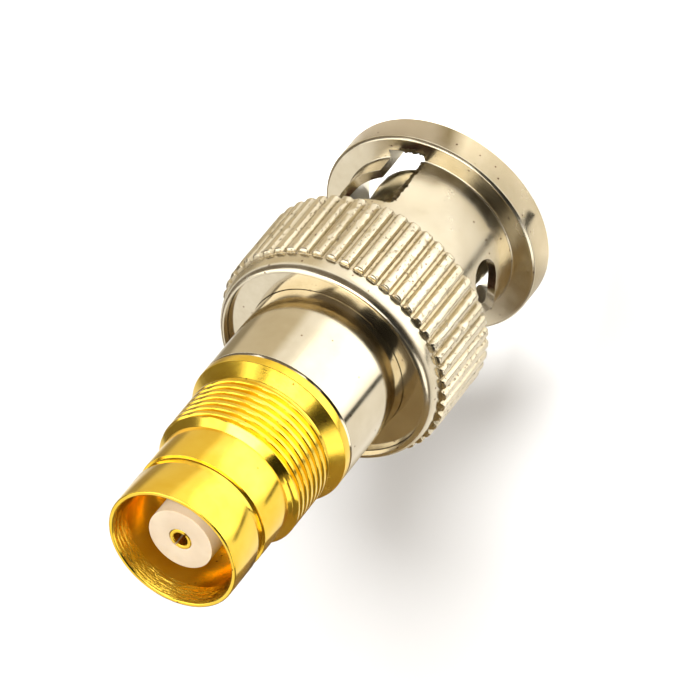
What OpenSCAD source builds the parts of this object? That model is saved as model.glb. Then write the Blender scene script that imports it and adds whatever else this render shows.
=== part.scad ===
// Coaxial adapter: a bayonet plug with a knurled coupling nut at the bottom, and a
// gold-plated threaded jack at the top. Millimetres. The adapter stands on the rim of
// the nut: z = 0 is the mating face of the rim, and +Z runs along the axis to the jack.

/* [Coupling nut] */
// Outer diameter of the rim at the mating face
rim_d = 13.76; // [13.0:0.02:14.4]
// Axial thickness of the rim
rim_h = 2.0; // [1.4:0.1:2.6]
// Bevel on the rim's outer edges
rim_bevel = 0.15; // [0.05:0.05:0.3]
// Outer diameter of the thin bayonet neck
neck_d = 10.9; // [10.7:0.1:11.4]
// Length of the neck between the rim and the grip
neck_h = 6.3; // [5.8:0.1:7.5]
// Fillet radius where the neck meets the rim
neck_fillet = 0.25; // [0.1:0.05:0.6]
// Diameter over the ridges of the grip
grip_d = 14.66; // [14.3:0.02:15.4]
// Length of the ridged grip
grip_h = 5.25; // [4.4:0.05:6.5]
// Number of ridges round the grip
ridge_count = 50; // [36:1:60]
// Depth of the grooves between the ridges
ridge_depth = 0.33; // [0.2:0.01:0.4]
// Width of the flat left on top of each ridge
ridge_flat = 0.3; // [0.15:0.01:0.4]
// Width of each ridge at its shoulders
ridge_w = 0.6; // [0.5:0.01:0.65]
// Drop of the shoulders below the top
ridge_drop = 0.1; // [0.05:0.01:0.15]
// Width of the flat floor of the grooves
valley_w = 0.14; // [0.08:0.01:0.2]
// Bevel that cuts the ridges at both ends of the grip
grip_bevel = 0.14; // [0.08:0.02:0.18]
// Radial step from the grooves down to the smooth lip
lip_step = 0.05; // [0.03:0.01:0.2]
// Length of the lip
lip_h = 1.22; // [1.0:0.02:1.6]
// Wall thickness of the lip
lip_wall = 0.51; // [0.4:0.01:0.7]
// Radial width rolled in at the lip's outer edge
lip_roll = 0.48; // [0.2:0.02:0.48]
// Wall thickness of the neck, round the bore that receives the mating jack
neck_wall = 0.52; // [0.4:0.02:0.7]
// Bevel at the mouth of that bore
nut_mouth_bevel = 0.2; // [0.1:0.05:0.4]

/* [Bayonet] */
// Width of the two entries
slot_w = 2.3; // [2.1:0.05:2.5]
// Height of the slot's rim-side edge over the mating face, at the entry
slot_edge = 3.25; // [2.8:0.05:3.5]
// Height of the slot's back edge
slot_back = 6.15; // [5.9:0.05:6.4]
// Corner radius where the entry meets the back edge
slot_corner = 0.2; // [0.1:0.05:0.4]
// Turn from the entry to the locked seat, in degrees
slot_turn = 87; // [75:1:95]
// Climb of the rim-side edge to the hump that the lug passes
slot_hump = 0.8; // [0.65:0.05:0.9]
// Climb of the rim-side edge at the locked seat
slot_seat = 0.6; // [0.3:0.05:0.6]
// Depth of the two entry channels into the rim, from the neck's outside
channel_step = 0.55; // [0.3:0.05:0.8]

/* [Washers and ring] */
// Width of the shoulder in the nut that the retaining ring is pressed against
ring_step = 0.58; // [0.4:0.02:0.7]
// Thickness of the retaining ring
ring_t = 1.2; // [0.9:0.05:1.4]
// Depth of the ring's face below the lip's edge
ring_recess = 0.47; // [0.3:0.01:0.6]
// Radial width of the two washers
washer_w = 0.71; // [0.5:0.01:0.9]
// Thickness of the flat thrust washer
thrust_t = 0.34; // [0.25:0.01:0.5]
// Free height of the wave washer
wave_h = 1.18; // [1.0:0.02:1.3]
// Sheet thickness of the wave washer
wave_t = 0.3; // [0.2:0.02:0.4]
// Number of waves round the washer
wave_count = 3; // [2:1:5]

/* [Plug body] */
// Visible length of the barrel, from the ring's face to the jack's collar
barrel_h = 6.2; // [5.0:0.1:8.0]
// Bevel at the barrel's end
barrel_bevel = 0.18; // [0.1:0.02:0.3]
// Thickness of the flange that carries the washers
flange_t = 1.7; // [1.4:0.1:1.8]
// Length of the round boss in front of the flange
boss_h = 0.7; // [0.5:0.05:0.9]
// Clear width between the spring sleeve and the nut's bore, for the wall of the mating jack
jack_room = 0.98; // [0.9:0.01:1.1]
// Height of the contact bead near the sleeve's end
bead_up = 0.08; // [0.04:0.01:0.12]
// Length of the bead
bead_h = 0.6; // [0.4:0.05:0.8]
// Wall thickness of the sleeve
sleeve_wall = 0.45; // [0.35:0.01:0.6]
// Distance of the sleeve's end behind the mating face
sleeve_back = 1.0; // [0.7:0.05:1.4]
// Number of spring fingers cut in the sleeve
finger_count = 4; // [2:1:6]
// Width of the cuts between the fingers
finger_cut_w = 0.45; // [0.3:0.05:0.7]
// Length of those cuts
finger_cut_h = 5.0; // [3.5:0.1:5.5]
// Direction of the first cut, in degrees
finger_angle = 40; // [0:5:90]
// Distance from the flange to the inner web
web_back = 2.1; // [1.6:0.1:2.6]
// Thickness of the inner web
web_t = 1.5; // [1.2:0.1:2.0]
// Thickness of the face gasket round the sleeve
gasket_t = 0.7; // [0.5:0.05:0.9]
// Distance of the plug insulator's face behind the sleeve's end
plug_insulator_back = 5.4; // [4.5:0.1:6.0]

/* [Jack] */
// Height of the collar's round band
collar_h = 0.57; // [0.4:0.01:0.9]
// Height of the cone from the collar down to the thread
cone_h = 0.63; // [0.5:0.01:0.9]
// Height of the relief behind the thread
relief_h = 0.5; // [0.4:0.02:0.7]
// Depth of the relief below the thread's outside
relief_depth = 0.3; // [0.2:0.01:0.4]
// Outer diameter of the thread
thread_d = 9.0; // [8.8:0.05:9.4]
// Length of the thread at full diameter
thread_h = 3.45; // [3.0:0.05:4.5]
// Height of the bevel at the thread's start
thread_bevel_h = 0.4; // [0.2:0.02:0.6]
// Radial step from the thread's outside down to the plain front barrel
jack_step = 0.45; // [0.35:0.01:0.55]
// Length of the plain front barrel
jack_h = 5.95; // [5.0:0.05:7.5]
// Height of the turned groove over the thread's bevel
groove_up = 2.62; // [2.0:0.02:3.2]
// Width of the groove's floor
groove_w = 0.4; // [0.3:0.02:0.6]
// Depth of the groove
groove_depth = 0.18; // [0.1:0.01:0.2]
// Length of the shallow slope in front of the groove
groove_slope = 0.45; // [0.3:0.02:0.7]
// Wall thickness at the jack's mouth
mouth_wall = 0.28; // [0.2:0.01:0.32]
// Rounding of the mouth's edges
mouth_bevel = 0.06; // [0.02:0.01:0.08]
// Length of the tapered lead-in at the mouth
lead_h = 1.12; // [0.8:0.02:1.6]
// Radial narrowing of the lead-in
lead_in = 0.29; // [0.15:0.01:0.35]
// Depth of the jack's bore behind the mouth
bore_h = 4.8; // [4.4:0.1:5.6]
// Diameter of the insulator behind the bore's floor
throat_d = 5.6; // [5.2:0.1:6.0]
// Wall thickness of the plug body round the spigot
barrel_wall = 1.05; // [0.8:0.05:1.3]

/* [Centre conductor] */
// Diameter of the white boss round the socket
boss_d = 4.0; // [3.6:0.05:4.4]
// Distance of the boss and the socket behind the mouth
socket_back = 0.95; // [0.6:0.05:1.4]
// Outer diameter of the socket and the pin
contact_d = 1.38; // [1.3:0.02:1.46]
// Diameter of the socket's hole
socket_bore_d = 0.88; // [0.8:0.02:0.94]
// Depth of the socket's hole
socket_bore_h = 4.2; // [3.6:0.1:5.0]
// Width of the saw cut across the socket
socket_cut_w = 0.12; // [0.08:0.01:0.2]
// Depth of the saw cut
socket_cut_h = 3.2; // [2.5:0.1:3.5]
// Direction of the saw cut, in degrees
socket_cut_angle = -50; // [-90:5:90]
// Clear width round the socket in the boss
socket_room = 0.13; // [0.08:0.01:0.2]
// Depth of that room
socket_room_h = 3.4; // [2.5:0.1:3.8]
// Distance of the pin's tip behind the mating face
pin_back = 1.6; // [1.2:0.1:2.2]
// Length of the pin's rounded tip
pin_tip_h = 0.7; // [0.5:0.05:0.9]
// Diameter of the collar that traps the contact
stop_d = 2.4; // [2.0:0.1:2.6]

/* [Clearances] */
// Radial running clearance of the nut on the body
run_gap = 0.1; // [0.05:0.01:0.1]
// Axial clearance between turning faces
face_gap = 0.08; // [0.05:0.01:0.1]
// Clearance at the ends of the wave washer
wave_gap = 0.05; // [0.03:0.01:0.1]
// Clearance between the flange and the nut's stop
stop_gap = 0.3; // [0.2:0.05:0.4]
// Clearance between pieces that are pressed together
fit_gap = 0.02; // [0.01:0.01:0.04]

/* [Hidden] */
$fn = 96;

// Past a face by this much when cutting through it
over = 1;

// Heights of the nut, from the mating face up
z_grip = rim_h + neck_h;
z_lip = z_grip + grip_h;
z_edge = z_lip + lip_h;
z_ring_top = z_edge - ring_recess;
z_ring = z_ring_top - ring_t;

// Heights of the washers and the flange, from the ring down
z_thrust = z_ring - face_gap - thrust_t;
z_wave = z_thrust - wave_gap - wave_h;
z_flange_top = z_wave - wave_gap;
z_flange = z_flange_top - flange_t;
z_stop = z_flange - stop_gap;
z_boss = z_flange - boss_h;

// Heights of the plug body and the jack
z_web = z_flange_top + web_back;
z_web_top = z_web + web_t;
z_joint = z_ring_top + barrel_h;
z_collar = z_joint + collar_h;
z_relief = z_collar + cone_h;
z_thread = z_relief + relief_h;
z_bevel = z_thread + thread_h;
z_jack = z_bevel + thread_bevel_h;
z_groove = z_jack + groove_up;
z_mouth = z_jack + jack_h;
z_socket = z_mouth - socket_back;
z_lead = z_mouth - lead_h;
z_floor = z_mouth - bore_h;
z_sleeve = sleeve_back;
z_plug_face = z_sleeve + plug_insulator_back;

// Radii of the nut and of what turns in it, from the grip in
grip_r = grip_d / 2;
valley_r = grip_r - ridge_depth;
lip_r = valley_r - lip_step;
ring_seat_r = lip_r - lip_wall;
pocket_r = ring_seat_r - ring_step;
flange_r = pocket_r - run_gap;
washer_out = flange_r;
washer_in = washer_out - washer_w;
hole_r = washer_in;
barrel_r = hole_r - run_gap;
spigot_r = barrel_r - barrel_wall;

// Radii of the bayonet end, from the neck in
neck_r = neck_d / 2;
channel_r = neck_r + channel_step;
nut_bore_r = neck_r - neck_wall;
front_r = nut_bore_r - run_gap;
sleeve_r = nut_bore_r - jack_room;
bead_r = sleeve_r + bead_up;
sleeve_bore_r = sleeve_r - sleeve_wall;
slot_inner = nut_bore_r - over;

// Radii of the jack and the contact
thread_r = thread_d / 2;
relief_r = thread_r - relief_depth;
jack_r = thread_r - jack_step;
mouth_r = jack_r - mouth_wall;
bore_r = mouth_r - lead_in;
throat_r = throat_d / 2;
boss_r = boss_d / 2;
contact_r = contact_d / 2;
stop_r = stop_d / 2;

// Points of an arc of radius r about [x, y], from angle a0 to a1
function arc(x, y, r, a0, a1, steps = 8) =
    [for (i = [0:steps]) let (a = a0 + (a1 - a0) * i / steps) [x + r * cos(a), y + r * sin(a)]];

// A quarter ellipse, for the rolled edge of the lip
function quarter(x, y, rx, ry, steps = 10) =
    [for (i = [0:steps]) let (a = 90 * i / steps) [x + rx * cos(a), y + ry * sin(a)]];

function ease(u) = (1 - cos(180 * u)) / 2;

// Climb of the slot's rim-side edge at the share t of its turn: level, up to the hump, back to the seat
level_to = 0.4;
hump_at = 0.8;
function slot_climb(t) =
    t < level_to ? 0
    : t < hump_at ? slot_hump * ease((t - level_to) / (hump_at - level_to))
    : slot_hump + (slot_seat - slot_hump) * ease((t - hump_at) / (1 - hump_at));

module tube(outer_r, inner_r, height) {
    difference() {
        cylinder(r = outer_r, h = height);
        translate([0, 0, -over]) cylinder(r = inner_r, h = height + 2 * over);
    }
}

// Side faces of a band of four-cornered ribs: "runs" of them in a row, out of "total" ribs
function band_faces(runs, total) =
    [for (i = [0:runs - 1], k = [0:3])
        let (j = (i + 1) % total, m = (k + 1) % 4)
        each [[4 * i + k, 4 * i + m, 4 * j + m], [4 * i + k, 4 * j + m, 4 * j + k]]];

// One bayonet slot, as ribs across its width: the entry channel through the rim, a level start,
// the climb over the hump, and the round seat
module cam_slot(steps = 24, entry_slant = 0.02) {
    half = slot_w / 2;
    seat_r = (slot_back - slot_edge - slot_seat) / 2;
    seat_z = slot_back - seat_r;
    run = slot_turn * PI / 180 * neck_r;
    first = half + entry_slant;
    ribs = concat(
        [for (q = [0:30:60])
            [slot_corner * (1 - cos(q)) - half, -over, slot_back - slot_corner * (1 - sin(q))]],
        [for (x = [slot_corner - half, half]) [x, -over, slot_back]],
        [for (i = [0:steps])
            let (x = first + (run - first) * i / steps) [x, slot_edge + slot_climb(x / run), slot_back]],
        [for (q = [15, 30, 45, 60, 75, 84])
            [run + seat_r * sin(q), seat_z - seat_r * cos(q), seat_z + seat_r * cos(q)]]);
    corners = [for (rib = ribs, p = [[slot_inner, 1], [channel_r, 1], [channel_r, 2], [slot_inner, 2]])
        let (y = min(rib[0], half), x = sqrt(p[0] * p[0] - y * y), a = (rib[0] - y) / neck_r * 180 / PI)
            [x * cos(a) - y * sin(a), x * sin(a) + y * cos(a), rib[p[1]]]];
    last = len(corners) - 4;
    ends = [[3, 2, 1], [3, 1, 0], [last, last + 1, last + 2], [last, last + 2, last + 3]];
    polyhedron(points = corners, faces = concat(band_faces(len(ribs) - 1, len(ribs)), ends));
}

// Degrees that half of a width takes up on a circle of radius r
function half_turn(width, r) = asin(width / 2 / r);

// The ridged band: a straight knurl of round-shouldered ridges, with its ends cut by a bevel
module grip() {
    pitch = 360 / ridge_count;
    shoulder_r = grip_r - ridge_drop;
    half = [[pitch / 2 - half_turn(valley_w, valley_r), valley_r],
            [half_turn(ridge_w, shoulder_r), shoulder_r], [half_turn(ridge_flat, grip_r), grip_r]];
    ridge = concat([for (p = half) [-p[0], p[1]]], [for (k = [2, 1, 0]) half[k]]);
    intersection() {
        translate([0, 0, z_grip])
            linear_extrude(grip_h)
                polygon([for (i = [0:ridge_count - 1], p = ridge)
                         [p[1] * cos(i * pitch + p[0]), p[1] * sin(i * pitch + p[0])]]);
        rotate_extrude()
            polygon([[0, z_grip - over], [grip_r - grip_bevel - over, z_grip - over],
                     [grip_r, z_grip + grip_bevel], [grip_r, z_lip - grip_bevel],
                     [grip_r - grip_bevel - over, z_lip + over], [0, z_lip + over]]);
    }
}

module coupling_nut() {
    rim_r = rim_d / 2;
    color("silver")
        difference() {
            union() {
                rotate_extrude()
                    polygon(concat([[0, 0], [rim_r - rim_bevel, 0], [rim_r, rim_bevel],
                                    [rim_r, rim_h - rim_bevel], [rim_r - rim_bevel, rim_h]],
                                   arc(neck_r + neck_fillet, rim_h + neck_fillet, neck_fillet, 270, 180),
                                   [[neck_r, z_grip + grip_bevel], [lip_r, z_grip + grip_bevel]],
                                   quarter(lip_r - lip_roll, z_lip + lip_h / 3, lip_roll, lip_h * 2 / 3),
                                   [[0, z_edge]]));
                grip();
            }
            translate([0, 0, -over]) cylinder(r = nut_bore_r, h = z_stop + 2 * over);
            translate([0, 0, -over])
                cylinder(r1 = nut_bore_r + nut_mouth_bevel + over, r2 = nut_bore_r,
                         h = nut_mouth_bevel + over);
            translate([0, 0, z_stop]) cylinder(r = pocket_r, h = z_edge);
            translate([0, 0, z_ring]) cylinder(r = ring_seat_r, h = z_edge);
            for (side = [0, 180]) rotate([0, 0, side]) cam_slot();
        }
}

module retaining_ring() {
    color("gainsboro") translate([0, 0, z_ring]) tube(ring_seat_r - fit_gap, hole_r, ring_t);
}

module thrust_washer() {
    color("silver") translate([0, 0, z_thrust]) tube(washer_out, washer_in, thrust_t);
}

// A flat ring bent into even waves, so that it gives when the nut is pulled forward
module wave_washer(steps_per_wave = 16) {
    steps = wave_count * steps_per_wave;
    swing = (wave_h - wave_t) / 2;
    middle = z_wave + swing;
    ring = [for (i = [0:steps - 1])
        let (a = 360 * i / steps, z = middle + swing * cos(wave_count * a))
        for (p = [[washer_in, z], [washer_out, z], [washer_out, z + wave_t], [washer_in, z + wave_t]])
            [p[0] * cos(a), p[0] * sin(a), p[1]]];
    color("dimgray") polyhedron(points = ring, faces = band_faces(steps, steps));
}

module plug_body() {
    tip = (bead_r - sleeve_bore_r) / 2;
    seat_r = spigot_r + fit_gap;
    web_r = stop_r + fit_gap;
    color("silver")
        difference() {
            rotate_extrude()
                polygon(concat([[sleeve_bore_r, z_web], [sleeve_bore_r, z_sleeve + tip]],
                               arc(sleeve_bore_r + tip, z_sleeve + tip, tip, 180, 360),
                               [[bead_r, z_sleeve + tip + bead_h],
                                [sleeve_r, z_sleeve + tip + 2 * bead_h],
                                [sleeve_r, z_boss], [front_r, z_boss], [front_r, z_flange],
                                [flange_r, z_flange], [flange_r, z_flange_top], [barrel_r, z_flange_top],
                                [barrel_r, z_joint - barrel_bevel], [barrel_r - barrel_bevel, z_joint],
                                [seat_r, z_joint], [seat_r, z_web_top], [web_r, z_web_top], [web_r, z_web]]));
            for (i = [0:finger_count - 1])
                rotate([0, 0, finger_angle + i * 360 / finger_count])
                    translate([0, -finger_cut_w / 2, -over])
                        cube([bead_r + over, finger_cut_w, z_sleeve + finger_cut_h + over]);
        }
}

module gasket() {
    color("firebrick")
        translate([0, 0, z_boss - gasket_t - fit_gap]) tube(front_r, sleeve_r + fit_gap, gasket_t);
}

module plug_insulator() {
    color("whitesmoke")
        translate([0, 0, z_plug_face])
            tube(sleeve_bore_r - fit_gap, contact_r + fit_gap, z_web - fit_gap - z_plug_face);
}

// Pin, trapping collar and slotted socket, turned in one piece
module centre_contact() {
    tip_r = contact_r / 2;
    color("gold")
        difference() {
            rotate_extrude()
                polygon([[0, pin_back], [tip_r, pin_back], [contact_r, pin_back + pin_tip_h],
                         [contact_r, z_web], [stop_r, z_web], [stop_r, z_web_top],
                         [contact_r, z_web_top], [contact_r, z_socket], [0, z_socket]]);
            translate([0, 0, z_socket - socket_bore_h]) cylinder(d = socket_bore_d, h = socket_bore_h + over);
            rotate([0, 0, socket_cut_angle])
                translate([-contact_d, -socket_cut_w / 2, z_socket - socket_cut_h])
                    cube([2 * contact_d, socket_cut_w, socket_cut_h + over]);
        }
}

module jack_insulator() {
    z_back = z_web_top + fit_gap;
    hole = contact_r + fit_gap;
    room_r = contact_r + socket_room;
    color("white")
        rotate_extrude()
            polygon([[hole, z_back], [throat_r - fit_gap, z_back],
                     [throat_r - fit_gap, z_floor], [boss_r, z_floor], [boss_r, z_socket],
                     [room_r, z_socket], [room_r, z_socket - socket_room_h],
                     [hole, z_socket - socket_room_h]]);
}

module jack_shell() {
    groove_r = jack_r - groove_depth;
    z_back = z_web_top + fit_gap;
    color("gold")
        rotate_extrude()
            polygon([[throat_r, z_back], [spigot_r, z_back], [spigot_r, z_joint + fit_gap],
                     [barrel_r, z_joint + fit_gap], [barrel_r, z_collar], [relief_r, z_relief],
                     [relief_r, z_thread - relief_depth], [thread_r, z_thread], [thread_r, z_bevel],
                     [jack_r, z_jack], [jack_r, z_groove], [groove_r, z_groove],
                     [groove_r, z_groove + groove_w], [jack_r, z_groove + groove_w + groove_slope],
                     [jack_r, z_mouth - mouth_bevel], [jack_r - mouth_bevel, z_mouth],
                     [mouth_r + mouth_bevel, z_mouth], [mouth_r, z_mouth - mouth_bevel],
                     [bore_r, z_lead], [bore_r, z_floor], [throat_r, z_floor]]);
}

coupling_nut();
retaining_ring();
thrust_washer();
wave_washer();
plug_body();
gasket();
plug_insulator();
centre_contact();
jack_insulator();
jack_shell();
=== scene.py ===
import bpy
import random
from math import atan2, cos, hypot, pi, radians, sin, sqrt
from mathutils import Matrix, Vector


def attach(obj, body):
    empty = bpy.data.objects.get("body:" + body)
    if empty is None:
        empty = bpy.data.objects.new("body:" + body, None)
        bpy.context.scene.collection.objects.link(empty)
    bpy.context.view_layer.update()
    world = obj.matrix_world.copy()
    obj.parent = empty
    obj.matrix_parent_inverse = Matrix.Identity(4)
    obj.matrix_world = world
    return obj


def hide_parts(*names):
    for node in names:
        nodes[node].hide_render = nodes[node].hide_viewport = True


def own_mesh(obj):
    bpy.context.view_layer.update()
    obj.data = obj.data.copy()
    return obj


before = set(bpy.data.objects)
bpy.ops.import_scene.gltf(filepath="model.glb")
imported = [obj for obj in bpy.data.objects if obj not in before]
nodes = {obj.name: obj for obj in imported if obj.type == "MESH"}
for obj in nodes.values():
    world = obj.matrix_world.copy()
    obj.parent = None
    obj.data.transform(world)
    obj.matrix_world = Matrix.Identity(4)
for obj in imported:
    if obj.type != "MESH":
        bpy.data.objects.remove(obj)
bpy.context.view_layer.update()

# The pieces are modelled in millimetres, and each one is brought down to metres when it is finished.
MM = 0.001

# Corners this close are merged, a cutting tool stands this far past the metal, a place may be this far off
MERGE = 0.0002
CLEAR = 1.0
SLACK = 0.01

# Heights along the axis, from the rim's mating face up to the jack's mouth
RIM_H = 2.0
Z_GRIP = 8.3
Z_LIP = 13.55
Z_EDGE = 14.77
Z_RING_TOP = 14.3
Z_RING = 13.1
Z_STOP = 9.4
Z_FLANGE = 9.7
Z_FLANGE_TOP = 11.4
Z_BOSS = 9.0
Z_WEB = 13.5
Z_WEB_TOP = 15.0
Z_JOINT = 20.5
Z_COLLAR = 21.07
Z_RELIEF = 21.7
Z_THREAD = 22.2
Z_BEVEL = 25.65
Z_JACK = 26.05
Z_GROOVE = 28.67
Z_MOUTH = 32.0
Z_LEAD = 30.88
Z_FLOOR = 27.2
Z_SOCKET = 31.05
Z_PIN = 1.6

# Radii
RIM_R = 6.88
NECK_R = 5.45
NUT_BORE_R = 4.93
GRIP_R = 7.33
VALLEY_R = 7.0
LIP_R = 6.95
RING_SEAT_R = 6.44
POCKET_R = 5.86
HOLE_R = 4.98
BARREL_R = 4.95
THREAD_R = 4.5
RELIEF_R = 4.2
JACK_R = 4.05
MOUTH_R = 3.77
BORE_R = 3.48
THROAT_R = 2.8
BOSS_R = 2.0
CONTACT_R = 0.69
CONTACT_HOLE_R = 0.71
STOP_R = 1.2

# Grip and bayonet slots
RIDGES = 50
CORNERS = 12
RIDGE_PITCH = 0.92
# Depth below the top of a ridge, from its middle out to the middle of the groove
RIDGE_SHAPE = (0, 0.003, 0.016, 0.06, 0.19, 0.33, 0.33)
# Share of the pitch, to each side of a ridge's middle, that wear and knocks reach, and the deepest wear
RIDGE_SIDE = 0.37
RIDGE_WEAR = 0.025
GRIP_END = 0.22
END_ROWS = 5
GRIP_ROWS = 48
# Radius past which the nut is grip, and the radii between which painted shade in its grooves fades from dark
# to none
GRIP_FROM_R = 6.97
GROOVE_DARK_R = 7.06
GROOVE_BRIGHT_R = 7.24
NECK_FILLET = 0.12
SLOT_W = 2.3
SLOT_EDGE = 3.25
SLOT_BACK = 6.15
SLOT_CORNER = 0.2
SLOT_TURN = radians(87)
SLOT_HUMP = 0.8
SLOT_SEAT = 0.6
# Shares of the slot's turn where its climb starts and where it reaches the hump
SLOT_LEVEL = 0.4
SLOT_TOP = 0.8
# Length round the neck in which the entry's side steps up to the slot's edge
SLOT_STEP = 0.02
CHANNEL_R = 6.0

# Knocks on the grip: how many, how far aside in shares of the pitch, how far from the ends, how wide and deep
KNOCKS = 260
KNOCK_ASIDE = 0.2
KNOCK_INSET = 0.3
KNOCK_WIDE = (0.1, 0.26)
KNOCK_DEEP = (0.02, 0.07)

# Burr of one slot: grains up the entry's side and across the channel's floor, where they lie, and their shape
BURR_UP = 60
BURR_ACROSS = 26
BURR_ABOVE_RIM = 0.1
BURR_BELOW_BACK = 0.2
BURR_RUN = 1.5
GRAIN_R = (0.05, 0.13)
GRAIN_STRETCH = (0.5, 1.5)
GRAIN_ROUGH = 0.35

# Edges of the nut: bevels of the rim and of its bore, and the rolled lip's reach in, start and height
RIM_BEVEL = 0.15
BORE_BEVEL = 0.2
LIP_IN = 0.48
LIP_START = 0.407
LIP_ROLL = 0.813

# Plug body: the sleeve with its round nose, bead and cuts, the flange, and the seats inside
SLEEVE_R = 3.5
SLEEVE_NOSE = 0.265
SLEEVE_TIP = 1.0
SLEEVE_OUT_R = 3.95
Z_BEAD = 1.865
Z_BEAD_END = 2.465
SLEEVE_CUT = 0.45
SLEEVE_CUT_REACH = 5.2
SLEEVE_CUT_ANGLES = (40, 130)
Z_SLEEVE_CUT = 6.0
SHOULDER_R = 4.83
FLANGE_R = 5.76
JACK_SEAT_R = 3.92
WEB_HOLE_R = 1.22
BARREL_BEVEL = 0.18

# Jack: the shank in the plug body, the thread with its crest and flank as shares of half a pitch, the groove
# round the front, and the mouth
SHANK_R = 3.9
THREAD_RUN_OUT = 0.3
THREAD_DEPTH = 0.27
THREAD_CREST = 0.42
THREAD_FLANK = 0.5
THREAD_ROWS = 16
GROOVE_IN = 0.18
GROOVE_FLAT = 0.4
GROOVE_LENGTH = 0.85
MOUTH_BEVEL = 0.05

# Centre contact: the slotted socket and the pin's tapered tip
SOCKET_R = 0.44
SOCKET_DEPTH = 4.2
SOCKET_CUT = 0.12
SOCKET_CUT_DEPTH = 3.2
SOCKET_CUT_REACH = 1.0
SOCKET_CUT_ANGLE = -50
PIN_TIP_R = 0.345
PIN_TAPER = 0.7

# Clearance that the solids leave between pressed pieces, and the thread's pitch
FIT = 0.02
PITCH = 0.5

# Rounding of the turned edges
RIM_EASE = 0.05
BODY_EASE = 0.03
MOUTH_EASE = 0.025
BOSS_EASE = 0.02
RING_EASE = 0.015
CONTACT_EASE = 0.06
# A rounding takes at most this share of each side, and a corner flatter than this stays as it is
EASE_SHARE = 0.4
FLAT_CORNER = radians(155)

# Cards on the floor: how far they lie above it, and the radii of their edges
CARD_LIFT = 0.1
LINE_LIFT = 0.15
CARD_IN_R = 6.9
CARD_JOIN_R = 9.8
CARD_OUT_R = 75


# Modelling

def clear_selection():
    if bpy.context.mode != "OBJECT":
        bpy.ops.object.mode_set(mode="OBJECT")
    bpy.ops.object.select_all(action="DESELECT")


def pick(piece):
    clear_selection()
    piece.select_set(True)
    bpy.context.view_layer.objects.active = piece


def apply_modifier(piece, kind, **settings):
    pick(piece)
    modifier = piece.modifiers.new(kind.lower(), kind)
    for key, value in settings.items():
        setattr(modifier, key, value)
    bpy.ops.object.modifier_apply(modifier=modifier.name)


def close_skin(piece):
    """Merges the doubles of a turned or joined shape, and points its faces outwards."""
    pick(piece)
    bpy.ops.object.mode_set(mode="EDIT")
    bpy.ops.mesh.select_all(action="SELECT")
    bpy.ops.mesh.remove_doubles(threshold=MERGE)
    bpy.ops.mesh.normals_make_consistent(inside=False)
    bpy.ops.object.mode_set(mode="OBJECT")


def arc(x, z, rx, rz, start, end, steps):
    """Points of an elliptic arc in a profile, the angles in degrees."""
    turn = [radians(start + (end - start) * i / steps) for i in range(steps + 1)]
    return [(x + rx * cos(a), z + rz * sin(a)) for a in turn]


def eased(points, radius, steps=3):
    """A profile with its corners rounded, as a tool's nose and the plating leave them."""
    out = []
    for i, point in enumerate(points):
        here = Vector(point)
        before = Vector(points[i - 1]) - here
        after = Vector(points[(i + 1) % len(points)]) - here
        turn = before.angle(after, 0) if before.length and after.length else pi
        reach = min(radius, before.length * EASE_SHARE, after.length * EASE_SHARE)
        if turn > FLAT_CORNER or here.x < SLACK:
            out.append((here.x, here.y))
            continue
        a = here + before.normalized() * reach
        b = here + after.normalized() * reach
        for k in range(steps + 1):
            t = k / steps
            p = a * (1 - t) ** 2 + here * 2 * t * (1 - t) + b * t * t
            out.append((p.x, p.y))
    return out


def turned(name, profile, steps=256):
    """A piece turned on the lathe: a vertex drawn along the profile of (radius, height), then swept round."""
    clear_selection()
    bpy.ops.mesh.primitive_plane_add(size=0.01, location=(0, 0, 0))
    piece = bpy.context.object
    piece.name = name
    bpy.ops.object.mode_set(mode="EDIT")
    bpy.ops.mesh.select_all(action="SELECT")
    bpy.ops.mesh.merge(type="CENTER")
    bpy.ops.transform.translate(value=(profile[0][0], 0, profile[0][1]))
    for (r0, z0), (r1, z1) in zip(profile, profile[1:] + profile[:1]):
        bpy.ops.mesh.extrude_vertices_move(TRANSFORM_OT_translate={"value": (r1 - r0, 0, z1 - z0)})
    bpy.ops.mesh.select_all(action="SELECT")
    bpy.ops.mesh.remove_doubles(threshold=MERGE)
    bpy.ops.object.mode_set(mode="OBJECT")
    apply_modifier(piece, "SCREW", axis="Z", angle=2 * pi, steps=steps, render_steps=steps, screw_offset=0,
                   use_merge_vertices=True, merge_threshold=MERGE)
    close_skin(piece)
    return piece


def pulled_in(piece, low, high, reach_at, least):
    """Moves the corners between two heights and outside a least radius to the radius that is wanted there."""
    for v in piece.data.vertices:
        if low < v.co.z < high and hypot(v.co.x, v.co.y) > least:
            way = atan2(v.co.y, v.co.x)
            reach = reach_at(v.co.z, way)
            v.co.x, v.co.y = reach * cos(way), reach * sin(way)


def cut(piece, tool):
    """Cuts a tool's shape out of a piece, and takes the tool away."""
    apply_modifier(piece, "BOOLEAN", object=tool, operation="DIFFERENCE", solver="EXACT")
    bpy.data.objects.remove(tool)


def block(low, high, angle):
    """A box between two corners, turned about the axis, used as a cutting tool."""
    clear_selection()
    bpy.ops.mesh.primitive_cube_add(size=1, location=[(a + b) / 2 for a, b in zip(low, high)])
    tool = bpy.context.object
    tool.scale = [b - a for a, b in zip(low, high)]
    bpy.ops.object.transform_apply(location=True, rotation=True, scale=True)
    tool.data.transform(Matrix.Rotation(radians(angle), 4, "Z"))
    return tool


def turned_copy(tool, angle):
    """A copy of a cutting tool, turned about the axis."""
    copy = tool.copy()
    copy.data = tool.data.copy()
    bpy.context.scene.collection.objects.link(copy)
    copy.data.transform(Matrix.Rotation(radians(angle), 4, "Z"))
    return copy


def in_metres(piece):
    """Brings a piece that was modelled in millimetres down to metres."""
    pick(piece)
    piece.scale = (MM, MM, MM)
    bpy.ops.object.transform_apply(location=True, rotation=True, scale=True)


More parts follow.
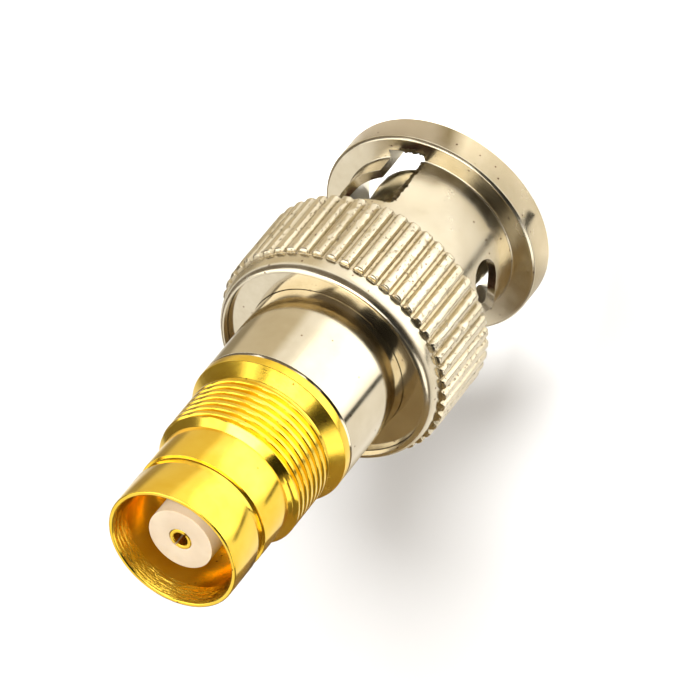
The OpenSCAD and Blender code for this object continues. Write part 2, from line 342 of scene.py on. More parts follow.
def finished(piece, material, body, node, angle=35):
    """Brings a piece down to metres, shades it, gives it its finish and puts it in the node's place."""
    in_metres(piece)
    bpy.ops.object.shade_smooth_by_angle(angle=radians(angle))
    piece.data.materials.clear()
    piece.data.materials.append(material)
    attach(piece, body)
    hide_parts(node)


# Materials

def colour(code):
    """A linear colour from an sRGB hex value."""
    parts = [int(code[i:i + 2], 16) / 255 for i in (1, 3, 5)]
    return [c / 12.92 if c <= 0.04045 else ((c + 0.055) / 1.055) ** 2.4 for c in parts] + [1.0]


def put(material, kind, settings=None, **links):
    """Adds one node: its settings by name, the stops of a ramp, and links from other nodes to its inputs."""
    made = material.node_tree.nodes.new("ShaderNode" + kind)
    for key, value in (settings or {}).items():
        if key == "stops":
            points = made.color_ramp.elements
            while len(points) < len(value):
                points.new(0.5)
            for point, (place, shade) in zip(points, value):
                point.position, point.color = place, colour(shade)
        elif isinstance(key, int) or key in made.inputs:
            made.inputs[key].default_value = value
        else:
            setattr(made, key, value)
    for key, source in links.items():
        number = key[0] == "i" and key[1:].isdigit()
        material.node_tree.links.new(source, made.inputs[int(key[1:]) if number else key.replace("_", " ")])
    return made


def blank(name):
    material = bpy.data.materials.new(name)
    material.use_nodes = True
    material.node_tree.nodes.clear()
    return material


def plated(name, tints, rough, marks, marks_depth, speck, specks, pits=0.0):
    """Bright plate on turned brass, a mirror with a faint haze. The lathe's marks run round the axis, each
    some tenths of a millimetre long and as wide as given; small specks of dirt sit in the plate. The grip,
    which is wider than the rest, can have pits as deep as given and grooves darkened with painted shade.
    Widths and depths are in millimetres."""
    m = blank(name)
    place = put(m, "TexCoord").outputs["Object"]
    # clouds of haze about 2.4 mm wide
    haze = put(m, "TexNoise", {"Scale": 0.42 / MM, "Detail": 6.0, "Roughness": 0.62}, Vector=place).outputs[0]
    # marks follow the way round the axis and the height, plus a share of the radius for the flat ends
    level = put(m, "VectorMath", {"operation": "MULTIPLY", 1: (1, 1, 0)}, i0=place).outputs[0]
    way = put(m, "VectorMath", {"operation": "NORMALIZE"}, i0=level).outputs[0]
    reach = put(m, "VectorMath", {"operation": "LENGTH"}, i0=level).outputs["Value"]
    height = put(m, "SeparateXYZ", i0=place).outputs["Z"]
    along = put(m, "Math", {"operation": "MULTIPLY_ADD", 1: 0.6}, i0=reach, i2=height).outputs[0]
    length = put(m, "CombineXYZ", Z=along).outputs[0]
    girth = (0.5 * MM, 0.5 * MM, 0)
    spun = put(m, "VectorMath", {"operation": "MULTIPLY_ADD", 1: girth}, i0=way, i2=length).outputs[0]
    fine = {"Scale": 1 / (marks * MM), "Detail": 3.0, "Roughness": 0.6}
    lathe = put(m, "TexNoise", fine, Vector=spun).outputs[0]
    tint = put(m, "ValToRGB", {"stops": [(0.32, tints[0]), (0.68, tints[1])]}, i0=haze).outputs[0]
    # cells about 0.4 mm wide, of which some hold a speck about 0.1 mm across
    cells = put(m, "TexVoronoi", {"Scale": 2.6 / MM, "Randomness": 1.0}, Vector=place)
    drop = put(m, "MapRange", {1: 0.11, 2: 0.20, 3: 1.0, 4: 0.0}, i0=cells.outputs["Distance"]).outputs[0]
    chance = put(m, "SeparateColor", i0=cells.outputs["Color"]).outputs[0]
    few = put(m, "Math", {"operation": "LESS_THAN", 1: specks}, i0=chance).outputs[0]
    dirt = put(m, "Math", {"operation": "MULTIPLY"}, i0=drop, i1=few).outputs[0]
    worn = put(m, "Mix", {"data_type": "RGBA", 7: colour(speck)}, i0=dirt, i6=tint).outputs[2]
    gloss = put(m, "MapRange", {1: 0.3, 2: 0.7, 3: rough[0], 4: rough[1]}, i0=haze).outputs[0]
    # edges catch light as if rounded by 0.04 mm
    edge = put(m, "Bevel", {"Radius": 0.04 * MM, "samples": 6}).outputs[0]
    shallow = {"Strength": 0.4, "Distance": marks_depth * MM}
    relief = put(m, "Bump", shallow, Height=lathe, Normal=edge).outputs[0]
    if pits:
        # the grip lies outside every other part of the nut, and painted shade darkens its grooves towards
        # their floor
        grip = put(m, "Math", {"operation": "GREATER_THAN", 1: GRIP_FROM_R * MM}, i0=reach).outputs[0]
        fall = {1: GROOVE_DARK_R * MM, 2: GROOVE_BRIGHT_R * MM, 3: 0.85, 4: 0.0}
        painted_groove_shade = put(m, "MapRange", fall, i0=reach).outputs[0]
        groove = put(m, "Math", {"operation": "MULTIPLY"}, i0=painted_groove_shade, i1=grip).outputs[0]
        worn = put(m, "Mix", {"data_type": "RGBA", 7: colour("#B8AA8C")}, i0=groove, i6=worn).outputs[2]
        # pits about 0.2 mm wide
        coarse = {"Scale": 5.2 / MM, "Detail": 3.0, "Roughness": 0.55}
        grain = put(m, "TexNoise", coarse, Vector=place).outputs[0]
        pit = put(m, "MapRange", {1: 0.30, 2: 0.40, 3: 0.0, 4: 1.0}, i0=grain).outputs[0]
        pitted = put(m, "Math", {"operation": "MULTIPLY"}, i0=pit, i1=grip).outputs[0]
        deep = {"Strength": 0.7, "Distance": pits * MM}
        relief = put(m, "Bump", deep, Height=pitted, Normal=relief).outputs[0]
    shader = put(m, "BsdfPrincipled", {"Metallic": 1.0}, Base_Color=worn, Roughness=gloss, Normal=relief)
    put(m, "OutputMaterial", Surface=shader.outputs[0])
    return m


def turned_fluoropolymer():
    """White fluoropolymer, turned: waxy and matt, with light passing into it and a faint unevenness; its warm
    white is darkened with painted shade for the boss deep in the mouth.
    """
    m = blank("turned_white_fluoropolymer")
    place = put(m, "TexCoord").outputs["Object"]
    # clouds about 1.4 mm wide
    cloud = put(m, "TexNoise", {"Scale": 0.7 / MM, "Detail": 4.0}, Vector=place).outputs[0]
    # a warm white, darkened with painted shade for the boss that sits deep in the mouth
    tint = put(m, "ValToRGB", {"stops": [(0.3, "#CEBBA0"), (0.7, "#DAC9AF")]}, i0=cloud).outputs[0]
    relief = put(m, "Bump", {"Strength": 0.15, "Distance": 0.03 * MM}, Height=cloud).outputs[0]
    shader = put(m, "BsdfPrincipled", {"Roughness": 0.42, "IOR": 1.36, "Subsurface Weight": 0.8,
                                       "Subsurface Radius": (3.0 * MM, 2.6 * MM, 2.0 * MM)},
                 Base_Color=tint, Normal=relief)
    put(m, "OutputMaterial", Surface=shader.outputs[0])
    return m


def moulded_silicone():
    """Moulded silicone rubber: dull brick red with a fine bloom."""
    m = blank("moulded_red_silicone")
    place = put(m, "TexCoord").outputs["Object"]
    # patches of bloom about 0.7 mm wide
    bloom = put(m, "TexNoise", {"Scale": 1.5 / MM, "Detail": 3.0}, Vector=place).outputs[0]
    tint = put(m, "ValToRGB", {"stops": [(0.3, "#6E2418"), (0.7, "#86382A")]}, i0=bloom).outputs[0]
    shader = put(m, "BsdfPrincipled", {"Roughness": 0.6, "IOR": 1.41}, Base_Color=tint)
    put(m, "OutputMaterial", Surface=shader.outputs[0])
    return m


def spring_strip():
    """Cold-rolled spring steel strip: grey, with the rolling marks along one way."""
    m = blank("cold_rolled_spring_steel")
    place = put(m, "TexCoord").outputs["Object"]
    # marks about 0.3 mm wide and twenty times as long
    along = put(m, "Mapping", {"Scale": (1.0, 0.05, 1.0)}, Vector=place).outputs[0]
    marks = put(m, "TexNoise", {"Scale": 3.0 / MM, "Detail": 3.0}, Vector=along).outputs[0]
    tint = put(m, "ValToRGB", {"stops": [(0.3, "#8A8A88"), (0.7, "#A6A6A4")]}, i0=marks).outputs[0]
    shader = put(m, "BsdfPrincipled", {"Metallic": 1.0, "Roughness": 0.28}, Base_Color=tint)
    put(m, "OutputMaterial", Surface=shader.outputs[0])
    return m


# Bright nickel on a polished barrel: a warm grey mirror, hardly hazed
polished_nickel = plated("bright_nickel_plate_on_polished_brass", tints=("#CDC1A6", "#DAD0B8"),
                         rough=(0.07, 0.16), marks=0.05, marks_depth=0.0006, speck="#6E4A2A", specks=0.05)
# Bright nickel over the knurl and the milled slots: satin and pitted, with more specks of dirt
nut_nickel = plated("bright_nickel_plate_on_knurled_brass", tints=("#D0C4A8", "#E0D6BE"), rough=(0.14, 0.28),
                    marks=0.06, marks_depth=0.0012, speck="#5A2E18", specks=0.16, pits=0.07)
# Torn grains along a cut edge: dark and dull
torn_nickel = plated("dull_nickel_plate_on_torn_brass", tints=("#4A3E28", "#7A6C50"), rough=(0.3, 0.5),
                     marks=0.05, marks_depth=0.002, speck="#5A2E18", specks=0.2)
# Bright gold on the turned jack: lemon yellow, deeper where it mirrors itself
YELLOWS = ("#F4C83C", "#FCD858")
gold = plated("bright_gold_plate_on_turned_brass", tints=YELLOWS, rough=(0.10, 0.20),
              marks=0.06, marks_depth=0.0012, speck="#7A4A10", specks=0.04)
# The same gold over the coarse feed marks of the tool, which glitter
rough_gold = plated("bright_gold_plate_on_rough_turned_brass", tints=YELLOWS, rough=(0.14, 0.26),
                    marks=0.16, marks_depth=0.35, speck="#7A4A10", specks=0.04)
# The same gold over fine rings of the tool: satin, so that the collar glows and doesn't mirror
satin_gold = plated("bright_gold_plate_on_fine_turned_brass", tints=YELLOWS, rough=(0.18, 0.28),
                    marks=0.05, marks_depth=0.008, speck="#7A4A10", specks=0.12)
fluoropolymer = turned_fluoropolymer()
silicone = moulded_silicone()
spring_steel = spring_strip()


# Coupling nut: a turned body with the knurled grip, and the two bayonet slots cut through the neck

def slot_climb(share):
    """Climb of the slot's rim-side edge at a share of its turn: level, up to the hump, back to the seat."""
    def ease(u):
        return (1 - cos(pi * u)) / 2
    if share < SLOT_LEVEL:
        return 0
    if share < SLOT_TOP:
        return SLOT_HUMP * ease((share - SLOT_LEVEL) / (SLOT_TOP - SLOT_LEVEL))
    return SLOT_HUMP + (SLOT_SEAT - SLOT_HUMP) * ease((share - SLOT_TOP) / (1 - SLOT_TOP))


def slot_ribs(steps=40):
    """Ribs across one slot, each (way round the neck, rim-side edge, back edge): entry, climb, round seat."""
    half = SLOT_W / 2
    seat_r = (SLOT_BACK - SLOT_EDGE - SLOT_SEAT) / 2
    seat_z = SLOT_BACK - seat_r
    run = SLOT_TURN * NECK_R
    first = half + SLOT_STEP
    corner = [radians(q) for q in (0, 30, 60)]
    ribs = [(SLOT_CORNER * (1 - cos(q)) - half, -CLEAR, SLOT_BACK - SLOT_CORNER * (1 - sin(q)))
            for q in corner]
    ribs += [(x, -CLEAR, SLOT_BACK) for x in (SLOT_CORNER - half, half)]
    for i in range(steps + 1):
        x = first + (run - first) * i / steps
        ribs.append((x, SLOT_EDGE + slot_climb(x / run), SLOT_BACK))
    for q in range(8, 89, 8):
        reach = radians(q)
        ribs.append((run + seat_r * sin(reach), seat_z - seat_r * cos(reach), seat_z + seat_r * cos(reach)))
    return ribs


def slot_cutter():
    """The cutter of one slot: a strip with a row of corners per rib, made thick and laid round the neck."""
    ribs = slot_ribs()
    long = len(ribs) - 1
    clear_selection()
    bpy.ops.mesh.primitive_grid_add(x_subdivisions=long, y_subdivisions=1, size=1)
    cutter = bpy.context.object
    bpy.ops.object.mode_set(mode="EDIT")
    bpy.ops.mesh.select_all(action="SELECT")
    bpy.ops.mesh.extrude_region_move(TRANSFORM_OT_translate={"value": (0, 0, 1)})
    bpy.ops.object.mode_set(mode="OBJECT")
    for v in cutter.data.vertices:
        way, low, high = ribs[round((v.co.x + 0.5) * long)]
        reach = CHANNEL_R if v.co.z > 0.5 else NUT_BORE_R - CLEAR
        y = min(way, SLOT_W / 2)
        x = sqrt(reach * reach - y * y)
        turn = (way - y) / NECK_R
        z = high if v.co.y > 0 else low
        v.co = (x * cos(turn) - y * sin(turn), x * sin(turn) + y * cos(turn), z)
    close_skin(cutter)
    return cutter


def grip_heights():
    """Heights of the rows of corners up the grip, closer together where the ridges' ends are rounded."""
    ends = [GRIP_END * i / END_ROWS for i in range(END_ROWS + 1)]
    straight = Z_LIP - Z_GRIP - 2 * GRIP_END
    middle = [Z_GRIP + GRIP_END + straight * i / GRIP_ROWS for i in range(1, GRIP_ROWS)]
    return [Z_GRIP + b for b in ends] + middle + [Z_LIP - b for b in reversed(ends)]


def grip_dents():
    """Small knocks from handling: on which ridge, how far aside, at what height, how wide and how deep."""
    draw = random.Random(7)
    return [(draw.randrange(RIDGES), draw.uniform(-KNOCK_ASIDE, KNOCK_ASIDE),
             draw.uniform(Z_GRIP + KNOCK_INSET, Z_LIP - KNOCK_INSET),
             draw.uniform(*KNOCK_WIDE), draw.uniform(*KNOCK_DEEP)) for _ in range(KNOCKS)]


def grip_radius(dents):
    """A function that gives the grip's outside; each ridge is worn down by its own small amount."""
    by_ridge = {}
    for ridge, *rest in dents:
        by_ridge.setdefault(ridge, []).append(rest)
    draw = random.Random(3)
    lows = [draw.uniform(0, RIDGE_WEAR) for _ in range(RIDGES)]

    def reach_at(z, angle):
        """Radius at a height and an angle: domed ridges, grooves between them, rounded ends, knocks."""
        turn = angle / (2 * pi) * RIDGES
        ridge = round(turn)
        aside = turn - ridge
        depth = RIDGE_SHAPE[round(abs(aside) * CORNERS)]
        if abs(aside) < RIDGE_SIDE:
            depth += lows[ridge % RIDGES]
            for place, height, wide, deep in by_ridge.get(ridge % RIDGES, []):
                far = hypot((aside - place) * RIDGE_PITCH, z - height) / wide
                depth += deep * max(0, 1 - far * far)
        short = GRIP_END - min(GRIP_END, z - Z_GRIP, Z_LIP - z)
        end = GRIP_R - GRIP_END + sqrt(GRIP_END ** 2 - short ** 2)
        return max(VALLEY_R, min(end, GRIP_R - depth))
    return reach_at


def coupling_nut():
    """The nut in one: turned with a corner for each step of the knurl, then the two slots are cut."""
    rim = eased([(NUT_BORE_R + BORE_BEVEL, 0), (RIM_R - RIM_BEVEL, 0), (RIM_R, RIM_BEVEL),
                 (RIM_R, RIM_H - RIM_BEVEL), (RIM_R - RIM_BEVEL, RIM_H), (NECK_R, RIM_H)], RIM_EASE)
    # the bore and the fillet make the two end corners, so the four points of each are left off here
    rim = rim[4:-4]
    fillet = arc(NECK_R + NECK_FILLET, RIM_H + NECK_FILLET, NECK_FILLET, NECK_FILLET, 270, 180, 8)
    grip = [(NECK_R, Z_GRIP)] + [(GRIP_R - GRIP_END, z) for z in grip_heights()]
    lip = [(LIP_R, Z_LIP)] + arc(LIP_R - LIP_IN, Z_LIP + LIP_START, LIP_IN, LIP_ROLL, 0, 90, 16)
    inside = [(RING_SEAT_R, Z_EDGE), (RING_SEAT_R, Z_RING), (POCKET_R, Z_RING), (POCKET_R, Z_STOP),
              (NUT_BORE_R, Z_STOP), (NUT_BORE_R, BORE_BEVEL), (NUT_BORE_R + BORE_BEVEL, 0)]
    nut = turned("coupling_nut_with_slots", rim + fillet + grip + lip + inside, steps=RIDGES * CORNERS)
    pulled_in(nut, Z_GRIP - SLACK, Z_LIP + SLACK, grip_radius(grip_dents()), GRIP_R - GRIP_END - SLACK)
    near = slot_cutter()
    far = turned_copy(near, 180)
    cut(nut, near)
    cut(nut, far)
    return nut


finished(coupling_nut(), nut_nickel, "nut", "coupling_nut", angle=28)


def burr_grains(places):
    """Torn grains of metal that the cutter left along an edge, each a small lump of its own size and turn."""
    draw = random.Random(11)
    grains = []
    for place in places:
        clear_selection()
        bpy.ops.mesh.primitive_ico_sphere_add(subdivisions=2, radius=draw.uniform(*GRAIN_R), location=place)
        grain = bpy.context.object
        grain.rotation_euler = [draw.uniform(0, pi) for _ in range(3)]
        grain.scale = [draw.uniform(*GRAIN_STRETCH) for _ in range(3)]
        bpy.ops.object.transform_apply(location=True, rotation=True, scale=True)
        for v in grain.data.vertices:
            v.co += (v.co - Vector(place)) * draw.uniform(-GRAIN_ROUGH, GRAIN_ROUGH)
        grains.append(grain)
    clear_selection()
    for grain in grains:
        grain.select_set(True)
    bpy.context.view_layer.objects.active = grains[0]
    bpy.ops.object.join()
    grains[0].name = "milling_burr_on_the_slot"
    return grains[0]


def slot_edge_places():
    """Places along the entry's straight side, up the neck, and along the channel's floor across the rim, each
    off its line by some hundredths of a millimetre."""
    draw = random.Random(5)
    half = SLOT_W / 2
    rise = SLOT_BACK - RIM_H - (BURR_ABOVE_RIM + BURR_BELOW_BACK)
    places = []
    for i in range(BURR_UP):
        z = RIM_H + BURR_ABOVE_RIM + rise * i / (BURR_UP - 1)
        x = sqrt(NECK_R ** 2 - half ** 2)
        places.append((x - draw.uniform(0, 0.05), -half + draw.uniform(0, 0.03), z))
    for i in range(BURR_ACROSS):
        y = -half + BURR_RUN * i / (BURR_ACROSS - 1)
        x = sqrt(CHANNEL_R ** 2 - y ** 2)
        places.append((x - draw.uniform(-0.02, 0.04), y, RIM_H - draw.uniform(0, 0.05)))
    return places


burr = burr_grains(slot_edge_places())
in_metres(burr)
burr.data.materials.append(torn_nickel)
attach(burr, "nut")

ring = turned("pressed_retaining_ring", eased([
    (HOLE_R, Z_RING), (RING_SEAT_R - FIT, Z_RING), (RING_SEAT_R - FIT, Z_RING_TOP), (HOLE_R, Z_RING_TOP)],
    RING_EASE))
finished(ring, polished_nickel, "nut", "retaining_ring")


# Plug body: polished barrel, flange, and the spring sleeve with its cuts

def plug_body():
    """Barrel, flange and sleeve in one, with two saw cuts across the sleeve that make four fingers."""
    nose = arc(SLEEVE_R + SLEEVE_NOSE, SLEEVE_TIP + SLEEVE_NOSE, SLEEVE_NOSE, SLEEVE_NOSE, 180, 360, 10)
    sleeve = [(SLEEVE_R, Z_WEB)] + nose + [
        (SLEEVE_R + 2 * SLEEVE_NOSE, Z_BEAD), (SLEEVE_OUT_R, Z_BEAD_END), (SLEEVE_OUT_R, Z_BOSS),
        (SHOULDER_R, Z_BOSS), (SHOULDER_R, Z_FLANGE)]
    flange = [(FLANGE_R, Z_FLANGE), (FLANGE_R, Z_FLANGE_TOP), (BARREL_R, Z_FLANGE_TOP)]
    barrel = [(BARREL_R, Z_JOINT - BARREL_BEVEL), (BARREL_R - BARREL_BEVEL, Z_JOINT), (JACK_SEAT_R, Z_JOINT),
              (JACK_SEAT_R, Z_WEB_TOP), (WEB_HOLE_R, Z_WEB_TOP), (WEB_HOLE_R, Z_WEB)]
    body = turned("plug_barrel_and_sleeve", eased(sleeve + flange + barrel, BODY_EASE))
    half = SLEEVE_CUT / 2
    low = (-SLEEVE_CUT_REACH, -half, -CLEAR)
    high = (SLEEVE_CUT_REACH, half, Z_SLEEVE_CUT)
    for angle in SLEEVE_CUT_ANGLES:
        cut(body, block(low, high, angle))
    return body


finished(plug_body(), polished_nickel, "adapter", "plug_body")


# Jack: collar, cone, thread, groove and thin mouth

def thread_radius(z, angle):
    """Outside of the thread at a height and an angle: sharp grooves, flat crests, cut back by the bevel."""
    phase = (z / PITCH - angle / (2 * pi)) % 1.0
    side = abs(phase - 0.5) * 2
    depth = THREAD_DEPTH * min(1.0, max(0.0, (side - THREAD_CREST) / THREAD_FLANK))
    limit = THREAD_R
    if z > Z_BEVEL:
        limit = THREAD_R - (z - Z_BEVEL) * (THREAD_R - JACK_R) / (Z_JACK - Z_BEVEL)
    if z < Z_THREAD:
        limit = THREAD_R - (Z_THREAD - z)
    return max(JACK_R if z > Z_BEVEL else RELIEF_R, min(limit, THREAD_R - depth))


def jack_shell():
    """The jack in one: shank, collar and cone, then rows of corners for the thread, then front and mouth."""
    back = Z_THREAD - THREAD_RUN_OUT
    low = eased([(THROAT_R, Z_WEB_TOP + FIT), (SHANK_R, Z_WEB_TOP + FIT), (SHANK_R, Z_JOINT + FIT),
                 (BARREL_R, Z_JOINT + FIT), (BARREL_R, Z_COLLAR), (RELIEF_R, Z_RELIEF), (RELIEF_R, back)],
                BODY_EASE)
    rows = round((Z_JACK - back) / PITCH * THREAD_ROWS)
    threads = [(THREAD_R, back + (Z_JACK - back) * i / rows) for i in range(1, rows)]
    front = eased([(JACK_R, Z_JACK), (JACK_R, Z_GROOVE), (JACK_R - GROOVE_IN, Z_GROOVE),
                   (JACK_R - GROOVE_IN, Z_GROOVE + GROOVE_FLAT), (JACK_R, Z_GROOVE + GROOVE_LENGTH),
                   (JACK_R, Z_MOUTH - MOUTH_BEVEL), (JACK_R - MOUTH_BEVEL, Z_MOUTH),
                   (MOUTH_R + MOUTH_BEVEL, Z_MOUTH), (MOUTH_R, Z_MOUTH - MOUTH_BEVEL), (BORE_R, Z_LEAD),
                   (BORE_R, Z_FLOOR), (THROAT_R, Z_FLOOR)], MOUTH_EASE)
    shell = turned("jack_shell_with_thread", low + threads + front)
    pulled_in(shell, back + SLACK, Z_JACK - SLACK, thread_radius, RELIEF_R + SLACK)
    return shell


jack = jack_shell()
finished(jack, gold, "adapter", "jack_shell", angle=30)
# the taper inside the mouth is rough turned, and the collar with its cone and the bore are satin
jack.data.materials.append(rough_gold)
jack.data.materials.append(satin_gold)
for face in jack.data.polygons:
    middle = face.center / MM
    reach = hypot(middle.x, middle.y)
    collar = Z_JOINT < middle.z < Z_RELIEF and reach > RELIEF_R
    bore = middle.z > Z_FLOOR and reach < BORE_R + SLACK
    if Z_LEAD < middle.z < Z_MOUTH - MOUTH_BEVEL and BORE_R - SLACK < reach < MOUTH_R:
        face.material_index = 1
    elif collar or bore:
        face.material_index = 2

insulator = turned("jack_insulator_boss", eased([
    (CONTACT_HOLE_R, Z_WEB_TOP + FIT), (THROAT_R - FIT, Z_WEB_TOP + FIT), (THROAT_R - FIT, Z_FLOOR),
    (BOSS_R, Z_FLOOR), (BOSS_R, Z_SOCKET), (CONTACT_HOLE_R, Z_SOCKET)], BOSS_EASE))
finished(insulator, fluoropolymer, "adapter", "jack_insulator")


def centre_contact():
    """Pin, collar and socket in one, with a saw cut across the socket."""
    bottom = Z_SOCKET - SOCKET_DEPTH
    socket = [(0, bottom), (SOCKET_R, bottom), (SOCKET_R, Z_SOCKET), (CONTACT_R, Z_SOCKET)]
    shank = [(CONTACT_R, Z_WEB_TOP), (STOP_R, Z_WEB_TOP), (STOP_R, Z_WEB), (CONTACT_R, Z_WEB)]
    pin = [(CONTACT_R, Z_PIN + PIN_TAPER), (PIN_TIP_R, Z_PIN), (0, Z_PIN)]
    contact = turned("pin_and_slotted_socket", eased(socket + shank + pin, CONTACT_EASE), steps=96)
    half = SOCKET_CUT / 2
    low = (-SOCKET_CUT_REACH, -half, Z_SOCKET - SOCKET_CUT_DEPTH)
    high = (SOCKET_CUT_REACH, half, Z_SOCKET + CLEAR)
    cut(contact, block(low, high, SOCKET_CUT_ANGLE))
    return contact


finished(centre_contact(), satin_gold, "adapter", "centre_contact")

# The pieces inside that the photograph doesn't show keep the shape of the solids
for name, material in (("thrust_washer", polished_nickel), ("wave_washer", spring_steel),
                       ("gasket", silicone), ("plug_insulator", fluoropolymer)):
    nodes[name].data.materials.clear()
    nodes[name].data.materials.append(material)
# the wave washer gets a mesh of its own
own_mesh(nodes["wave_washer"])


# Stage: a pale floor, soft light, and the camera at the photograph's angle

def matt_board(name, shades):
    """Matt card: almost plain, with a faint cloudiness so that it isn't one flat tone."""
    m = blank(name)
    place = put(m, "TexCoord").outputs["Object"]
    # clouds about 80 mm wide
    cloud = put(m, "TexNoise", {"Scale": 0.012 / MM, "Detail": 2.0}, Vector=place).outputs[0]
    tint = put(m, "ValToRGB", {"stops": [(0.3, shades[0]), (0.7, shades[1])]}, i0=cloud).outputs[0]
    shader = put(m, "BsdfPrincipled", {"Roughness": 0.85}, Base_Color=tint)
    put(m, "OutputMaterial", Surface=shader.outputs[0])
    return m


clear_selection()
bpy.ops.mesh.primitive_plane_add(size=4.0, location=(0, 0, 0))
board = bpy.context.object
board.name = "floor_board"
board.data.materials.append(matt_board("matt_white_board", ("#F1F1F0", "#F6F6F5")))

# The camera, found from the circles in the photograph: its place, the way it looks, and its picture's right
EYE = Vector((0.2222, -0.2080, 0.2708))
AHEAD = Vector((-0.558, 0.520, -0.647)).normalized()
RIGHT = Vector((-0.231, -0.846, -0.481)).normalized()
UP = RIGHT.cross(AHEAD).normalized()
RIGHT = AHEAD.cross(UP).normalized()

lens = bpy.data.cameras.new("camera")
lens.sensor_width = 36.0
lens.sensor_fit = "HORIZONTAL"
lens.lens = 360.0
lens.clip_start = 0.01
lens.clip_end = 10.0
camera = bpy.data.objects.new("camera", lens)
camera.matrix_world = Matrix((RIGHT, UP, -AHEAD)).transposed().to_4x4()
camera.location = EYE
bpy.context.scene.collection.objects.link(camera)
bpy.context.scene.camera = camera

# Toward the camera along the floor, and to the right of that
NEAR = Vector((EYE.x, EYE.y, 0)).normalized()
SIDE = Vector((RIGHT.x, RIGHT.y, 0))
SIDE = (SIDE - NEAR * SIDE.dot(NEAR)).normalized()
MIDDLE = Vector((0, 0, 0.016))


def around(azimuth, elevation, distance):
    """A place round the object: degrees to the camera's right, degrees up from the floor, and metres away."""
    a, e = radians(azimuth), radians(elevation)
    return MIDDLE + (NEAR * cos(a) * cos(e) + SIDE * sin(a) * cos(e) + Vector((0, 0, sin(e)))) * distance


def turn_to(thing, aim):
    """Turns a lamp or a card so that it faces a place."""
    thing.rotation_mode = "QUATERNION"
    thing.rotation_quaternion = (aim - thing.location).to_track_quat("-Z", "Y")


def lamp_at(name, data, place, aim):
    """Hangs a lamp at a place and aims it."""
    lamp = bpy.data.objects.new(name, data)
    lamp.location = place
    turn_to(lamp, aim)
    bpy.context.scene.collection.objects.link(lamp)
    return lamp


def softbox(name, place, size, watts, mirrored=True, spread=True):
    """A soft light that faces the object: mirrored by the metal or not, spread over matt things or not."""
    data = bpy.data.lights.new(name, "AREA")
    data.shape = "RECTANGLE"
    data.size, data.size_y = size
    data.energy = watts
    lamp = lamp_at(name, data, place, MIDDLE)
    lamp.visible_camera = False
    lamp.visible_glossy = mirrored
    lamp.visible_diffuse = spread


def spot(name, place, aim, radius, watts, soft):
    """A narrow light that makes a round patch of the given radius at the place it is aimed at."""
    data = bpy.data.lights.new(name, "SPOT")
    data.spot_size = 2 * atan2(radius, (aim - place).length)
    data.spot_blend = soft
    data.shadow_soft_size = 0.004
    data.energy = watts
    lamp_at(name, data, place, aim).visible_glossy = False


def on_floor(near, side, up=0.0):
    """A place in metres from the axis: towards the camera, to its right, and up from the floor."""
    return NEAR * near + SIDE * side + Vector((0, 0, up))


# The key throws the shadow and isn't mirrored; the others are mostly there for the metal to mirror
softbox("key_softbox", around(-20, 47, 0.45), (0.12, 0.12), 2.3, mirrored=False)
softbox("mouth_light", on_floor(0.019, -0.005, 0.048), (0.030, 0.008), 0.0028, spread=False)
softbox("high_softbox", around(-30, 61, 0.5), (0.3, 0.22), 0.5, spread=False)
softbox("left_softbox", around(-105, 55, 0.5), (0.5, 0.35), 1.15)
softbox("right_softbox", around(85, 30, 0.5), (0.25, 0.25), 0.35, spread=False)
softbox("back_softbox", around(180, 40, 0.6), (0.5, 0.4), 0.55)
# The upright walls mirror the floor and not the lights, so a patch of it in front is lit more
spot("front_pool", on_floor(0.045, 0.012, 0.5), on_floor(0.045, 0.012), 0.036, 15.0, 0.5)
# Light the floor that shows through the bayonet entry and through the seat of the other slot
spot("entry_light", EYE, on_floor(0.0012, -0.0039), 0.0045, 24.0, 0.2)
spot("seat_light", EYE, on_floor(-0.0022, 0.0042), 0.0038, 24.0, 0.2)


def card_shades(name, stops):
    """Card painted in soft bands of light and shade round the object, which the metal mirrors as painted
    reflections: (degrees to the camera's right, shade).
    """
    m = blank(name)
    place = put(m, "TexCoord").outputs["Object"]
    way = put(m, "TexGradient", {"gradient_type": "RADIAL"}, Vector=place).outputs[0]
    bands = [(0.5 - azimuth / 360, shade) for azimuth, shade in reversed(stops)]
    tint = put(m, "ValToRGB", {"stops": bands}, i0=way).outputs[0]
    shader = put(m, "BsdfPrincipled", {"Roughness": 0.85}, Base_Color=tint)
    put(m, "OutputMaterial", Surface=shader.outputs[0])
    return m


def mirror_card(name, corners, material):
    """A sheet that only the metal's mirror sees: a row of corners along each of its two long edges."""
    clear_selection()
    long = len(corners[0]) - 1
    bpy.ops.mesh.primitive_grid_add(x_subdivisions=long, y_subdivisions=1, size=1, location=(0, 0, 0))
    sheet = bpy.context.object
    sheet.name = name
    for v in sheet.data.vertices:
        near, side, up = corners[0 if v.co.y < 0 else 1][round((v.co.x + 0.5) * long)]
        v.co = (near * MM, -side * MM, up * MM)
    sheet.rotation_euler = (0, 0, atan2(NEAR.y, NEAR.x))
    sheet.data.materials.append(material)
    sheet.visible_camera = sheet.visible_diffuse = sheet.visible_shadow = False


def ring_on_floor(radius):
    """Corners of a ring that lies just above the floor, all the way round the axis."""
    ways = [radians(a) for a in range(-180, 181, 5)]
    return [(radius * cos(a), radius * sin(a), CARD_LIFT) for a in ways]
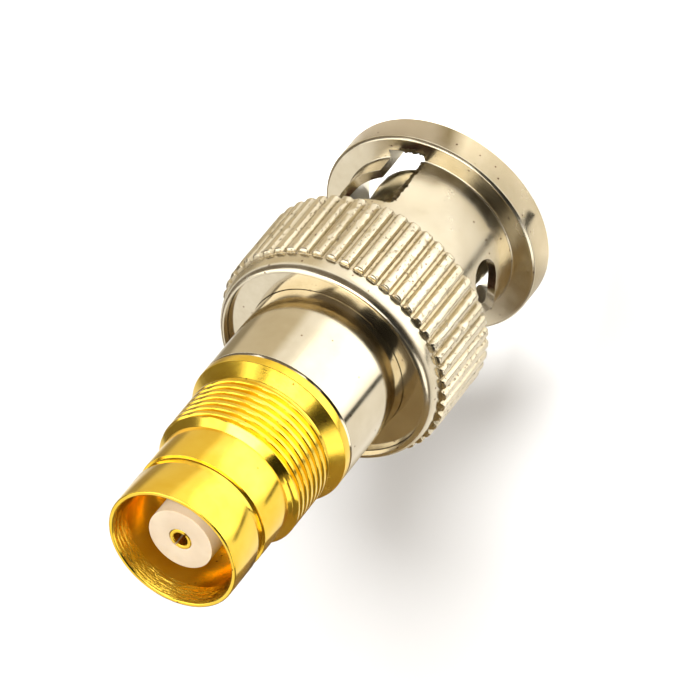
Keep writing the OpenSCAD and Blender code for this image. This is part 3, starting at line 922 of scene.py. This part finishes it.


# Sheets that only the metal's mirror sees, for the upright walls to mirror: bands of painted light and shade
# by the rim and farther out, standing for the lit and shaded floor, and a black strip for a dark line to the
# right
rim_painted_reflections = card_shades("card_bands_by_the_rim", [
    (-120, "#D8D4CC"), (-80, "#8B847A"), (-34, "#8B847A"), (-25, "#6E6450"), (-14, "#D6D0C4"),
    (62, "#D6D0C4"), (78, "#A8A296"), (150, "#A8A296")])
mirror_card("card_by_the_rim", (ring_on_floor(CARD_IN_R), ring_on_floor(CARD_JOIN_R)), rim_painted_reflections)
far_painted_reflections = card_shades("card_bands", [
    (-160, "#F0EEEA"), (-136, "#8C826C"), (-118, "#8C826C"), (-108, "#C4BAA4"), (-58, "#C4BAA4"),
    (-46, "#F2F1EF"), (128, "#F2F1EF"), (145, "#C8BEA8"), (165, "#C8BEA8")])
mirror_card("card_round_the_object", (ring_on_floor(CARD_JOIN_R), ring_on_floor(CARD_OUT_R)), far_painted_reflections)
black_card = matt_board("matt_black_card", ("#0C0B0A", "#141210"))
mirror_card("dark_line_on_the_floor", ([(5.7, 4.5, LINE_LIFT), (14.2, 40.7, LINE_LIFT)],
                                       [(6.3, 4.3, LINE_LIFT), (18.8, 39.3, LINE_LIFT)]), black_card)
# What the flat faces on the right mirror: a brown card that stands behind the object, painted shade that they
# show as their dark side
mirror_card("dark_card_behind", ([(-14, 1, 12), (-14, 60, 12)], [(-14, 1, 39), (-14, 60, 39)]),
            matt_board("painted_shade_brown_card", ("#7A6848", "#867350")))


def dark_flag(name, place, radius):
    """A round black card that faces the object, which only the metal's mirror sees."""
    clear_selection()
    bpy.ops.mesh.primitive_circle_add(vertices=48, radius=radius, fill_type="NGON", location=place)
    flag = bpy.context.object
    flag.name = name
    turn_to(flag, MIDDLE)
    flag.data.materials.append(black_card)
    flag.visible_camera = flag.visible_diffuse = flag.visible_shadow = False


# Dark cards, which the metal shows as its dark patches
dark_flag("dark_flag_behind_the_camera", around(30, 36, 0.46), 0.26)
dark_flag("dark_flag_above_the_camera", around(28, 66, 0.47), 0.1)
dark_flag("dark_flag_overhead", around(100, 72, 0.62), 0.2)
dark_flag("dark_flag_at_the_back", around(156, 62, 0.5), 0.11)

room = bpy.data.worlds.new("room")
room.use_nodes = True
room.node_tree.nodes["Background"].inputs["Color"].default_value = colour("#F6E6D2")
room.node_tree.nodes["Background"].inputs["Strength"].default_value = 0.25
bpy.context.scene.world = room
bpy.context.scene.view_settings.view_transform = "Standard"
